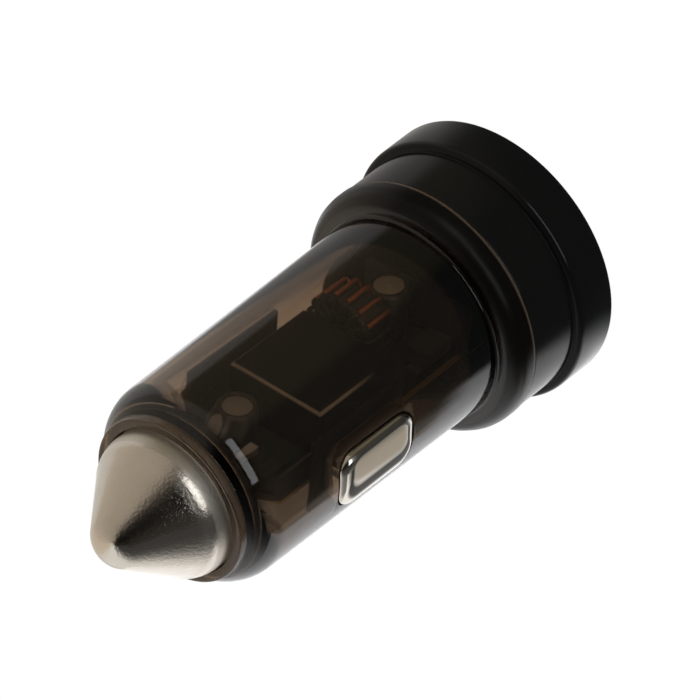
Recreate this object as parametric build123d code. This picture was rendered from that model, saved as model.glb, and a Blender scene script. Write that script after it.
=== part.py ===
from build123d import *
import math
import os

# Car charger plug that stands on its rear rim: Z runs from the rear rim to the tip, millimetres throughout.
# The side contacts lie on -X and +X, and the tall components of the board face -Y.

# Rear cap, the black moulding that carries the ports
rim_diameter = 26.9
rim_length = 4.9
rim_edge = 0.55
rim_step = 0.85
rim_wall = 1.65
neck_length = 5.5
cap_wall = 2.3
face_recess = 0.9
face_thickness = 1.6
window_clearance = 0.15
spigot_wall = 0.95
spigot_length = 1.8
spigot_clearance = 0.1

# Housing, the smoked clear moulding
flange_step = 0.1
flange_length = 2.8
shoulder_radius = 1.85
barrel_diameter = 20.5
barrel_length = 31.3
nose_length = 1.2
nose_step = 1.85
nose_radius = 3.9
collar_width = 0.97
collar_height = 0.95
collar_edge = 0.3
barrel_wall = 1.6
nose_wall = 2.15
rail_thickness = 1.0
rail_overlap = 0.5
rail_clearance = 0.08
rail_port_gap = 0.3
rail_contact_gap = 0.2
round_steps = 2
round_share = 0.98

# Centre contact, the turned and plated tip, and its spring
tip_clearance = 0.15
tip_travel = 2.5
tip_travel_clearance = 0.3
tip_land = 1.37
tip_half_angle = 37.0
tip_shoulder_radius = 3.0
tip_apex_radius = 3.3
apex_steps = 2
tip_flange_thickness = 0.9
tip_flange_clearance = 0.35
tip_bore_diameter = 8.4
tip_bore_beyond_land = 1.2
spring_diameter = 7.4
spring_wire = 0.6
spring_turns = 4.5
spring_steps = 10
spring_end_gap = 0.06

# Side contacts and the leaf springs behind them
contact_setback = 14.5
contact_length = 10.0
contact_width = 6.0
contact_corner = 1.9
contact_edge = 1.1
contact_edge_steps = 2
contact_proud = 0.85
contact_clearance = 0.2
contact_border = 1.1
contact_flange_thickness = 0.5
contact_seat_gap = 0.08
leaf_thickness = 0.25
leaf_width = 3.0
leaf_foot_length = 4.0
leaf_foot_gap = 1.1
leaf_arm_length = 9.0
leaf_gap = 0.03

# Circuit board
board_top = 1.5
board_thickness = 1.0
board_side_gap = 1.13
board_face_gap = 0.4
board_corner = 0.8
lead_clearance = 0.15
wire_sides = 5
round_sides = 24

# Port shells, tongues and contacts
port_setback = 0.1
usb_a_width = 13.1
usb_a_height = 5.7
usb_a_length = 11.2
usb_a_corner = 0.5
usb_c_width = 8.94
usb_c_height = 3.2
usb_c_length = 7.6
port_sheet = 0.3
port_clearance = 0.05
port_block_length = 2.6
usb_a_tongue_width = 11.1
usb_a_tongue_thickness = 1.84
usb_a_tongue_offset = 0.67
usb_a_tongue_setback = 1.75
usb_a_pitches = (-3.5, -1.0, 1.0, 3.5)
usb_a_strip = 1.0
usb_a_strip_thickness = 0.18
usb_c_tongue_width = 6.7
usb_c_tongue_thickness = 0.7
usb_c_tongue_setback = 0.9
usb_c_strip_count = 6
usb_c_strip_pitch = 0.95
usb_c_strip = 0.45
usb_c_strip_thickness = 0.08
strip_tip_gap = 0.7

# Tall components on the top of the board
capacitor_diameter = 4.0
capacitor_height = 6.1
capacitor_standoff = 0.2
capacitor_recess = 0.15
sleeve_wall = 0.3
sleeve_gap = 0.03
lead_diameter = 0.5
lead_pitch = 2.0
lead_tail = 1.0
rear_capacitor_gap = 0.9
rear_capacitor_offset = 1.0
front_capacitor_gap = 0.4
front_capacitor_offset = 0.5
toroid_rail_room = 3.8
toroid_gap = 0.65
core_outer_diameter = 6.8
core_inner_diameter = 4.1
core_thickness = 3.0
winding_wire = 0.5
winding_turns = 13
winding_spread = 286.0
winding_middle = -90.0
winding_gap = 0.06
choke_rail_gap = 0.1
choke_height = 5.3
choke_edge = 0.4
choke_rear_gap = 0.25
choke_front_gap = 2.53
choke_clip_width = 3.0
choke_clip_thickness = 0.2
choke_clip_reach = 1.6

# Flat components
diode_width = 2.3
diode_length = 3.4
diode_height = 2.0
diode_tab_width = 1.4
diode_tab_length = 0.9
diode_tab_thickness = 0.2
diode_rail_gap = 0.25
ic_width = 3.9
ic_length = 4.9
ic_height = 1.5
ic_standoff = 0.15
ic_edge = 0.2
ic_pitch = 1.27
ic_pins = 4
ic_pin_width = 0.42
ic_pin_reach = 1.05
ic_pin_thickness = 0.2
chip_width = 1.2
chip_length = 2.0
chip_height = 0.6
chip_spacing = 3.4
chip_count = 4
chip_side = 3.6
led_width = 1.6
led_length = 0.9
led_height = 0.7
led_rail_gap = 0.3
led_gap = 0.9

# Terminal plate that the tip spring stands on
terminal_width = 8.0
terminal_thickness = 0.5
terminal_boss_diameter = 5.4
terminal_boss_height = 0.8
terminal_tab_width = 1.6
terminal_tab_length = 4.0
terminal_tab_gap = 0.4

# Heights of the joints between the mouldings
seam_z = rim_length + neck_length
shoulder_z = seam_z + flange_length
nose_corner_z = shoulder_z + barrel_length
collar_root_z = nose_corner_z + nose_length
collar_top_z = collar_root_z + collar_height
tip_stop_z = collar_top_z - nose_wall
tip_rear_z = tip_stop_z - tip_flange_thickness
contact_z = nose_corner_z - contact_setback
face_inner_z = face_recess + face_thickness
port_z = face_recess + port_setback
terminal_z = tip_rear_z - tip_travel - tip_travel_clearance - terminal_boss_height
board_rear_z = face_inner_z + board_face_gap
board_front_z = terminal_z - terminal_thickness
board_bottom = board_top + board_thickness

# Radii that several pieces share
rim_r = rim_diameter / 2
recess_r = rim_r - rim_wall
neck_r = rim_r - rim_step
cap_bore_r = neck_r - cap_wall
spigot_r = cap_bore_r + spigot_wall
flange_r = neck_r + flange_step
barrel_r = barrel_diameter / 2
cavity_r = barrel_r - barrel_wall
collar_r = barrel_r - nose_step
tip_hole_r = collar_r - collar_width
tip_r = tip_hole_r - tip_clearance

# Places across the plug, from the barrel's wall inwards: contact, board and rails
contact_flange_half = contact_width / 2 + contact_border
contact_flange_x = math.sqrt(cavity_r**2 - contact_flange_half**2) - contact_seat_gap
contact_inner_x = contact_flange_x - contact_flange_thickness
contact_face_x = barrel_r + contact_proud
board_half = contact_inner_x - board_side_gap
rail_inner_x = board_half - rail_overlap


def rounded(before, corner, after, radius):
    """Points that round a corner off in short straight steps, no longer than its two sides allow."""
    back = (before - corner).normalized()
    onward = (after - corner).normalized()
    half_turn = math.radians(180 - back.get_angle(onward)) / 2
    side = min((before - corner).length, (after - corner).length)
    reach = min(radius * math.tan(half_turn), round_share * side)
    centre = corner + (back + onward).normalized() * reach / math.sin(half_turn)
    start = corner + back * reach - centre
    turn = start.get_signed_angle(corner + onward * reach - centre, Vector(0, 0, 1))
    return [centre + start.rotate(Axis.Z, turn * step / round_steps) for step in range(round_steps + 1)]


def turned(*corners):
    """Solid of revolution about Z from corners given as radius, height and rounding."""
    points = [Vector(radius, height) for radius, height, _ in corners]
    befores = points[-1:] + points[:-1]
    afters = points[1:] + points[:1]
    outline = []
    for before, point, after, (_, _, rounding) in zip(befores, points, afters, corners):
        outline += rounded(before, point, after, rounding) if rounding else [point]
    return revolve(Plane.XZ * make_face(Polyline(*outline, close=True)), Axis.Z)


def round_bar(radius, height):
    """Small round component as a many-sided bar from z 0 up."""
    return extrude(RegularPolygon(radius, round_sides), height)


def block(x0, x1, y0, y1, z0, z1):
    """Box between two corners."""
    size = (x1 - x0, y1 - y0, z1 - z0)
    middle = ((x0 + x1) / 2, (y0 + y1) / 2, (z0 + z1) / 2)
    return Pos(*middle) * Box(*size)


def prism(outline, y, z0, z1):
    """Outline in the XY plane, centred on x 0 and a given y, raised from z0 to z1."""
    return Pos(0, y, z0) * extrude(outline, z1 - z0)


def along_minus_y(solid, x, y, z):
    """A piece made about +Z, laid over so that it rises along -Y from a point."""
    return Pos(x, y, z) * Rot(90, 0, 0) * solid


def usb_a_outline(border):
    """Section of the wider port, grown by a border, with its corners cut off."""
    section = Rectangle(usb_a_width + 2 * border, usb_a_height + 2 * border)
    return chamfer(section.vertices(), usb_a_corner)


# Places of the ports, set by the board between them
usb_a_y = board_top - usb_a_height / 2
usb_c_y = board_bottom + usb_c_height / 2
usb_a_end_z = port_z + usb_a_length
usb_c_end_z = port_z + usb_c_length

# Rear cap: rim, neck and spigot in one turned form, with a window for each port
cap = turned(
    (0, face_recess, 0),
    (recess_r, face_recess, 0),
    (recess_r, 0, 0),
    (rim_r - rim_edge, 0, 0),
    (rim_r, rim_edge, 0),
    (rim_r, rim_length - rim_edge, 0),
    (rim_r - rim_edge, rim_length, 0),
    (neck_r, rim_length, 0),
    (neck_r, seam_z, 0),
    (spigot_r, seam_z, 0),
    (spigot_r, seam_z + spigot_length, 0),
    (cap_bore_r, seam_z + spigot_length, 0),
    (cap_bore_r, face_inner_z, 0),
    (0, face_inner_z, 0),
)
usb_a_window = usb_a_outline(window_clearance)
usb_c_window = SlotOverall(
    usb_c_width + 2 * window_clearance,
    usb_c_height + 2 * window_clearance,
)
rear_cap = cap - prism(usb_a_window, usb_a_y, 0, face_inner_z) - prism(usb_c_window, usb_c_y, 0, face_inner_z)

# Side contact: a shoe that slides in the housing wall, with a flange that stops it inside
contact_front_z = contact_z + contact_length / 2 + contact_border
contact_rear_z = contact_z - contact_length / 2 - contact_border


def contact_outline(border, corner):
    """Rounded outline of the shoe, grown by a border, in the plane across X at the contact's height."""
    across = Plane(origin=(0, 0, contact_z), x_dir=(0, 1, 0), z_dir=(1, 0, 0))
    return across * RectangleRounded(contact_width + 2 * border, contact_length + 2 * border, corner)


def contact_shoe():
    """Shoe on the +X side: stop flange, straight body, and an outer edge rounded off in steps."""
    half = contact_flange_half
    shoe = block(contact_inner_x, contact_flange_x, -half, half, contact_rear_z, contact_front_z)
    edge_x = contact_face_x - contact_edge
    body = extrude(contact_outline(0, contact_corner), edge_x - contact_flange_x)
    shoe += Pos(contact_flange_x, 0, 0) * body
    for step in range(contact_edge_steps):
        low = math.pi / 2 * step / contact_edge_steps
        high = math.pi / 2 * (step + 1) / contact_edge_steps
        rise = contact_edge * (math.sin(high) - math.sin(low))
        run = contact_edge * (math.cos(low) - math.cos(high))
        inset = contact_edge * (1 - math.cos(low))
        outline = contact_outline(-inset, contact_corner - inset)
        step_x = edge_x + contact_edge * math.sin(low)
        shoe += Pos(step_x, 0, 0) * extrude(outline, rise, taper=math.degrees(math.atan2(run, rise)))
    return shoe


right_contact = contact_shoe()
left_contact = mirror(right_contact, Plane.YZ)

# Housing: flange, barrel, rounded nose and collar, hollow, with board rails and contact slots
flange_bore_r = spigot_r + spigot_clearance
flange_bore_z = seam_z + spigot_length + spigot_clearance
shell = turned(
    (flange_bore_r, seam_z, 0),
    (flange_r, seam_z, 0),
    (flange_r, shoulder_z, shoulder_radius),
    (barrel_r, shoulder_z, 0),
    (barrel_r, nose_corner_z, nose_radius),
    (collar_r, collar_root_z, 0),
    (collar_r, collar_top_z - collar_edge, 0),
    (collar_r - collar_edge, collar_top_z, 0),
    (tip_hole_r, collar_top_z, 0),
    (tip_hole_r, tip_stop_z, 0),
    (cavity_r, tip_stop_z, 0),
    (cavity_r, flange_bore_z, 0),
    (flange_bore_r, flange_bore_z, 0),
)
rail_z = usb_a_end_z + rail_port_gap
rail_end_z = contact_rear_z - rail_contact_gap
rail_stock = prism(Circle(cavity_r + barrel_wall / 2), 0, rail_z, rail_end_z)
upper_rail_y = board_top - rail_clearance - rail_thickness
lower_rail_y = board_bottom + rail_clearance
housing = shell
for side in (-1, 1):
    for rail_y in (upper_rail_y, lower_rail_y):
        inner_x, outer_x = sorted((side * rail_inner_x, side * barrel_r))
        rail = block(inner_x, outer_x, rail_y, rail_y + rail_thickness, rail_z, rail_end_z)
        housing += rail & rail_stock
    slot = extrude(contact_outline(contact_clearance, contact_corner + contact_clearance), barrel_r)
    housing -= slot if side > 0 else mirror(slot, Plane.YZ)

# Centre contact: cone with a rounded apex, a land that runs in the collar, and a stop flange behind it
tip_angle = math.radians(tip_half_angle)
tip_corner_z = collar_top_z + tip_land
tip_cone_top_z = tip_corner_z + tip_r / math.tan(tip_angle)
tip_flange_r = cavity_r - tip_flange_clearance
tip_bore_r = tip_bore_diameter / 2
tip_bore_end_z = tip_corner_z + tip_bore_beyond_land
apex_z = tip_cone_top_z - tip_apex_radius / math.sin(tip_angle)
apex_turn = (math.pi / 2 - tip_angle) / apex_steps
apex_reach = tip_apex_radius / math.cos(apex_turn / 2)
apex_points = []
for step in range(apex_steps):
    slope = tip_angle + apex_turn * (step + 0.5)
    apex_points.append((apex_reach * math.cos(slope), apex_z + apex_reach * math.sin(slope), 0))
centre_contact = turned(
    (tip_bore_r, tip_rear_z, 0),
    (tip_flange_r, tip_rear_z, 0),
    (tip_flange_r, tip_stop_z, 0),
    (tip_r, tip_stop_z, 0),
    (tip_r, tip_corner_z, tip_shoulder_radius),
    *apex_points,
    (0, apex_z + tip_apex_radius, 0),
    (0, tip_bore_end_z, 0),
    (tip_bore_r, tip_bore_end_z, 0),
)

# Circuit board: flat plate with clipped front corners, drilled for the leads
capacitor_r = capacitor_diameter / 2
rear_capacitor_z = usb_a_end_z + rear_capacitor_gap + capacitor_r
front_capacitor_z = board_front_z - front_capacitor_gap - capacitor_r
core_outer_r = core_outer_diameter / 2
core_inner_r = core_inner_diameter / 2
winding_out_r = core_outer_r + winding_gap + winding_wire / 2
winding_in_r = core_inner_r - winding_gap - winding_wire / 2
winding_half = core_thickness / 2 + winding_gap + winding_wire / 2
toroid_y = board_top - winding_gap - winding_out_r - winding_wire / 2
toroid_z = rear_capacitor_z + capacitor_r + toroid_gap + winding_half + winding_wire / 2
toroid_x = rail_inner_x - toroid_rail_room
capacitor_places = ((rear_capacitor_offset, rear_capacitor_z), (front_capacitor_offset, front_capacitor_z))
lead_points = []
for capacitor_x, capacitor_z in capacitor_places:
    for side in (-1, 1):
        lead_points.append((capacitor_x + side * lead_pitch / 2, capacitor_z))
winding_end = math.radians(winding_spread / 2)
winding_lead_x = winding_out_r * math.sin(winding_end)
winding_leads = [(toroid_x + side * winding_lead_x, toroid_z - winding_half) for side in (-1, 1)]
board = block(-board_half, board_half, board_top, board_bottom, board_rear_z, board_front_z)
front_corners = board.edges().filter_by(Axis.Y).sort_by(Axis.Z)[-2:]
circuit_board = chamfer(front_corners, board_corner)
drill_r = lead_diameter / 2 + lead_clearance
drill = Pos(0, 0, -board_thickness) * extrude(RegularPolygon(drill_r, wire_sides), board_thickness)
for drill_x, drill_z in lead_points + winding_leads:
    circuit_board -= along_minus_y(drill, drill_x, board_top, drill_z)

# Port shells, folded from sheet, with a moulded tongue and flat contact strips in each
usb_a_outer = usb_a_outline(0)
usb_a_inner = usb_a_outline(-port_sheet)
usb_a_shell = prism(usb_a_outer - usb_a_inner, usb_a_y, port_z, usb_a_end_z)
usb_c_outer = SlotOverall(usb_c_width, usb_c_height)
usb_c_inner = SlotOverall(usb_c_width - 2 * port_sheet, usb_c_height - 2 * port_sheet)
usb_c_shell = prism(usb_c_outer - usb_c_inner, usb_c_y, port_z, usb_c_end_z)

port_inset = 2 * (port_sheet + port_clearance)
usb_a_block = usb_a_outline(-port_sheet - port_clearance)
tongue_y0 = board_top - usb_a_height + port_sheet + usb_a_tongue_offset
tongue_y1 = tongue_y0 + usb_a_tongue_thickness
tongue_half = usb_a_tongue_width / 2
usb_a_tip_z = port_z + usb_a_tongue_setback
usb_a_block_z = usb_a_end_z - port_block_length
usb_a_tongue = prism(usb_a_block, usb_a_y, usb_a_block_z, usb_a_end_z)
usb_a_tongue += block(-tongue_half, tongue_half, tongue_y0, tongue_y1, usb_a_tip_z, usb_a_block_z)
usb_a_strips = []
for strip_x in usb_a_pitches:
    left_x = strip_x - usb_a_strip / 2
    strip_z = usb_a_tip_z + strip_tip_gap
    strip_y = tongue_y1 + usb_a_strip_thickness
    usb_a_strips.append(block(left_x, left_x + usb_a_strip, tongue_y1, strip_y, strip_z, usb_a_block_z))

usb_c_block = SlotOverall(usb_c_width - port_inset, usb_c_height - port_inset)
usb_c_tip_z = port_z + usb_c_tongue_setback
usb_c_block_z = usb_c_end_z - port_block_length
usb_c_half = usb_c_tongue_width / 2
usb_c_plate = usb_c_tongue_thickness / 2
usb_c_tongue = prism(usb_c_block, usb_c_y, usb_c_block_z, usb_c_end_z)
usb_c_tongue += block(
    -usb_c_half, usb_c_half, usb_c_y - usb_c_plate, usb_c_y + usb_c_plate, usb_c_tip_z, usb_c_block_z
)
usb_c_strips = []
for row in (-1, 1):
    for place in range(usb_c_strip_count):
        left_x = (place - (usb_c_strip_count - 1) / 2) * usb_c_strip_pitch - usb_c_strip / 2
        strip_y0 = usb_c_y + row * usb_c_plate
        strip_y0, strip_y1 = sorted((strip_y0, strip_y0 + row * usb_c_strip_thickness))
        strip_z = usb_c_tip_z + strip_tip_gap
        usb_c_strips.append(block(left_x, left_x + usb_c_strip, strip_y0, strip_y1, strip_z, usb_c_block_z))

# Electrolytic capacitors: drawn can, shrunk sleeve that stands a little above its top, and two wire leads
can_r = capacitor_r - sleeve_wall - sleeve_gap
can_top = capacitor_height - capacitor_recess
can = Pos(0, 0, capacitor_standoff) * round_bar(can_r, can_top - capacitor_standoff)
sleeve_inner_r = can_r + sleeve_gap
sleeve = round_bar(capacitor_r, capacitor_height - capacitor_standoff)
sleeve -= round_bar(sleeve_inner_r, capacitor_height)
sleeve = Pos(0, 0, capacitor_standoff) * sleeve
lead_section = RegularPolygon(lead_diameter / 2, wire_sides)
lead_depth = board_thickness + lead_tail
lead = Pos(0, 0, -lead_depth) * extrude(lead_section, lead_depth + capacitor_standoff)
capacitor_leads = []
for lead_x, lead_z in lead_points:
    capacitor_leads.append(along_minus_y(lead, lead_x, board_top, lead_z))

# Toroidal choke: ring core on edge, wound with one length of wire whose ends go to the board
core = round_bar(core_outer_r, core_thickness) - round_bar(core_inner_r, core_thickness)
core = Pos(0, 0, -core_thickness / 2) * core
toroid_place = Pos(toroid_x, toroid_y, toroid_z)
toroid_core = toroid_place * core
turn_step = winding_spread / winding_turns
lead_end_y = board_bottom + lead_tail - toroid_y
winding_route = [(-winding_lead_x, lead_end_y, -winding_half)]
turn_corners = (
    (winding_out_r, -winding_half),
    (winding_out_r, winding_half),
    (winding_in_r, winding_half),
    (winding_in_r, -winding_half),
)
for turn in range(winding_turns):
    angle = math.radians(winding_middle - winding_spread / 2 + turn_step * turn)
    for radius, height in turn_corners:
        winding_route.append((radius * math.cos(angle), radius * math.sin(angle), height))
angle = math.radians(winding_middle + winding_spread / 2)
winding_route.append((winding_out_r * math.cos(angle), winding_out_r * math.sin(angle), -winding_half))
winding_route.append((winding_lead_x, lead_end_y, -winding_half))
route = Polyline(*winding_route)
wire_section = Plane(origin=route @ 0, z_dir=route % 0) * RegularPolygon(winding_wire / 2, wire_sides)
toroid_winding = toroid_place * sweep(wire_section, path=route, transition=Transition.RIGHT)

# Moulded power choke on two flat clips
choke_rear_z = toroid_z + winding_half + winding_wire / 2 + choke_rear_gap
choke_front_z = front_capacitor_z - capacitor_r - choke_front_gap
choke_half = rail_inner_x - choke_rail_gap
choke_base = board_top - choke_clip_thickness
choke_top = choke_base - choke_height
choke_body = block(-choke_half, choke_half, choke_top, choke_base, choke_rear_z, choke_front_z)
choke_top_edges = choke_body.faces().sort_by(Axis.Y)[0].edges()
choke_side_edges = choke_body.edges().filter_by(Axis.Y)
power_choke = chamfer(choke_top_edges + choke_side_edges, choke_edge)
choke_clips = []
for side in (-1, 1):
    clip_x = sorted((side * choke_half, side * (choke_half - choke_clip_reach)))
    clip_z = (choke_rear_z + choke_front_z - choke_clip_width) / 2
    choke_clips.append(block(*clip_x, choke_base, board_top, clip_z, clip_z + choke_clip_width))

# Diode between the rear capacitor and a rail, on two tabs
diode_base = board_top - diode_tab_thickness
diode_x0 = diode_rail_gap - rail_inner_x
diode_z0 = rear_capacitor_z - diode_length / 2
diode_body = block(
    diode_x0, diode_x0 + diode_width, diode_base - diode_height, diode_base, diode_z0, diode_z0 + diode_length
)
diode_tabs = []
for tab_z in (diode_z0 - diode_tab_length / 2, diode_z0 + diode_length - diode_tab_length / 2):
    tab_x0 = diode_x0 + (diode_width - diode_tab_width) / 2
    diode_tabs.append(
        block(tab_x0, tab_x0 + diode_tab_width, diode_base, board_top, tab_z, tab_z + diode_tab_length)
    )

# Controller chip and small chip parts under the board, and an indicator lamp on top
ic_base = board_bottom + ic_standoff
ic_z = (choke_rear_z + choke_front_z) / 2
ic_body = Pos(0, ic_base + ic_height / 2, ic_z) * Box(ic_width, ic_height, ic_length)
controller_ic = chamfer(ic_body.faces().sort_by(Axis.Y)[-1].edges(), ic_edge)
pin_middle_x = ic_width / 2 + ic_pin_reach / 2
pin_knee_y = ic_base + ic_height / 2
pin_foot_y = board_bottom + ic_pin_thickness / 2
pin_route = Polyline(
    (ic_width / 2, pin_knee_y),
    (pin_middle_x, pin_knee_y),
    (pin_middle_x, pin_foot_y),
    (ic_width / 2 + ic_pin_reach, pin_foot_y),
)
pin_form = extrude(trace(pin_route, ic_pin_thickness), ic_pin_width)
ic_leads = []
for pin in range(ic_pins):
    pin_z = ic_z + (pin - (ic_pins - 1) / 2) * ic_pitch - ic_pin_width / 2
    ic_leads.append(Pos(0, 0, pin_z) * pin_form)
    ic_leads.append(Pos(0, 0, pin_z) * mirror(pin_form, Plane.YZ))
chip_parts = []
for side in (-1, 1):
    for place in range(chip_count):
        chip_z = ic_z + (place - (chip_count - 1) / 2) * chip_spacing
        chip_place = Pos(side * chip_side, board_bottom + chip_height / 2, chip_z)
        chip_parts.append(chip_place * Box(chip_width, chip_height, chip_length))
led_z = choke_front_z + led_gap + led_length / 2
led_x = rail_inner_x - led_rail_gap - led_width / 2
indicator_led = Pos(led_x, board_top - led_height / 2, led_z) * Box(led_width, led_height, led_length)

# Leaf spring: a foot soldered to the board, a wall beside its edge, and an arm that presses the shoe outwards
leaf_wall_x = board_half + leaf_gap
leaf_bump_x = contact_inner_x - leaf_gap - leaf_thickness / 2
leaf_foot_z = front_capacitor_z - leaf_foot_length / 2
leaf_top = board_top - leaf_width
leaf_route = FilletPolyline(
    (leaf_wall_x + leaf_thickness / 2, leaf_foot_z + leaf_foot_length),
    (leaf_wall_x + leaf_thickness / 2, leaf_foot_z),
    (leaf_bump_x, contact_z),
    (leaf_wall_x + leaf_thickness, leaf_foot_z - leaf_arm_length),
    radius=leaf_foot_length / 2,
)
leaf_arm = Plane.XZ * trace(leaf_route, leaf_thickness)
right_leaf_spring = Pos(0, leaf_top + leaf_width, 0) * extrude(leaf_arm, leaf_width)
right_leaf_spring += block(
    front_capacitor_offset + capacitor_r + leaf_foot_gap,
    leaf_wall_x + leaf_thickness,
    board_top - leaf_thickness,
    board_top,
    leaf_foot_z,
    leaf_foot_z + leaf_foot_length,
)
left_leaf_spring = mirror(right_leaf_spring, Plane.YZ)

# Terminal plate soldered to the front of the board, with a boss that centres the tip spring
spring_terminal = prism(Rectangle(terminal_width, terminal_width), 0, board_front_z, terminal_z)
spring_terminal += Pos(0, 0, terminal_z) * round_bar(terminal_boss_diameter / 2, terminal_boss_height)
tab_inner_x = front_capacitor_offset + (lead_pitch + lead_diameter) / 2 + terminal_tab_gap
tab_rear_z = board_front_z - terminal_tab_length
tab_low_y = board_bottom + terminal_thickness
for side in (-1, 1):
    tab_x = sorted((side * tab_inner_x, side * (tab_inner_x + terminal_tab_width)))
    spring_terminal += block(*tab_x, board_bottom, tab_low_y, tab_rear_z, terminal_z)

# Tip spring between the terminal plate and the bottom of the bore in the tip
coil_start_z = terminal_z + spring_wire / 2 + spring_end_gap
coil_height = tip_bore_end_z - spring_wire / 2 - spring_end_gap - coil_start_z
coil_r = (spring_diameter - spring_wire) / 2
coil_steps = round(spring_turns * spring_steps)
coil_points = []
for step in range(coil_steps + 1):
    angle = math.radians(360 * step / spring_steps)
    coil_z = coil_start_z + coil_height * step / coil_steps
    coil_points.append((coil_r * math.cos(angle), coil_r * math.sin(angle), coil_z))
coil = Polyline(*coil_points)
coil_section = Plane(origin=coil @ 0, z_dir=coil % 0) * RegularPolygon(spring_wire / 2, wire_sides)
tip_spring = sweep(coil_section, path=coil, transition=Transition.RIGHT)

nodes = {
    "housing": housing,
    "rear_cap": rear_cap,
    "circuit_board": circuit_board,
    "usb_a_shell": usb_a_shell,
    "usb_a_tongue": usb_a_tongue,
    "usb_a_contacts": Compound(usb_a_strips),
    "usb_c_shell": usb_c_shell,
    "usb_c_tongue": usb_c_tongue,
    "usb_c_contacts": Compound(usb_c_strips),
    "rear_capacitor_can": along_minus_y(can, rear_capacitor_offset, board_top, rear_capacitor_z),
    "rear_capacitor_sleeve": along_minus_y(sleeve, rear_capacitor_offset, board_top, rear_capacitor_z),
    "front_capacitor_can": along_minus_y(can, front_capacitor_offset, board_top, front_capacitor_z),
    "front_capacitor_sleeve": along_minus_y(sleeve, front_capacitor_offset, board_top, front_capacitor_z),
    "capacitor_leads": Compound(capacitor_leads),
    "toroid_core": toroid_core,
    "toroid_winding": toroid_winding,
    "power_choke": power_choke,
    "choke_clips": Compound(choke_clips),
    "diode_body": diode_body,
    "diode_tabs": Compound(diode_tabs),
    "controller_ic": controller_ic,
    "ic_leads": Compound(ic_leads),
    "chip_parts": Compound(chip_parts),
    "indicator_led": indicator_led,
    "spring_terminal": spring_terminal,
    "tip_spring": tip_spring,
    "centre_contact": centre_contact,
    "left_contact": left_contact,
    "right_contact": right_contact,
    "left_leaf_spring": left_leaf_spring,
    "right_leaf_spring": right_leaf_spring,
}
os.makedirs("parts", exist_ok=True)
for name, shape in nodes.items():
    export_step(shape, f"parts/{name}.step")
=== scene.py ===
import math

import bpy
from mathutils import Matrix, Vector


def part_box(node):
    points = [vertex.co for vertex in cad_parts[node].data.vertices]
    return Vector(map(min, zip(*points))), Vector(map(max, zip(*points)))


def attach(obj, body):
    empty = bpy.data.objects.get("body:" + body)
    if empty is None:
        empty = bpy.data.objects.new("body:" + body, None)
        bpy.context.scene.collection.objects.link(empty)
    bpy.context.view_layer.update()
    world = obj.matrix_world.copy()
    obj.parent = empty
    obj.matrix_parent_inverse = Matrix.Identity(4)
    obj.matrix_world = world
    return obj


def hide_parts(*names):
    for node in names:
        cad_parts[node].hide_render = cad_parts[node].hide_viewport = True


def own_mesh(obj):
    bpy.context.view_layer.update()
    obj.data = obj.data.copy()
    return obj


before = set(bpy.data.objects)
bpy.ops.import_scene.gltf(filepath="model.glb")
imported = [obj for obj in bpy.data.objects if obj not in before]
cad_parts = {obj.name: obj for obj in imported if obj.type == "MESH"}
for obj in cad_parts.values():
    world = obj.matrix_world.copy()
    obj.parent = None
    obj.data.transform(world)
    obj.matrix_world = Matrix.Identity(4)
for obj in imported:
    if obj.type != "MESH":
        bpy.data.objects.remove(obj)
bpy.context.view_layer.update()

# Circuit board: a strip of glass-epoxy laminate 1 mm thick, with a dark green resist over its copper tracks.
# It is routed out of a panel, which leaves the pale laminate bare on its edges, and slides in on four ribs.
mm = 0.001


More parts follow.
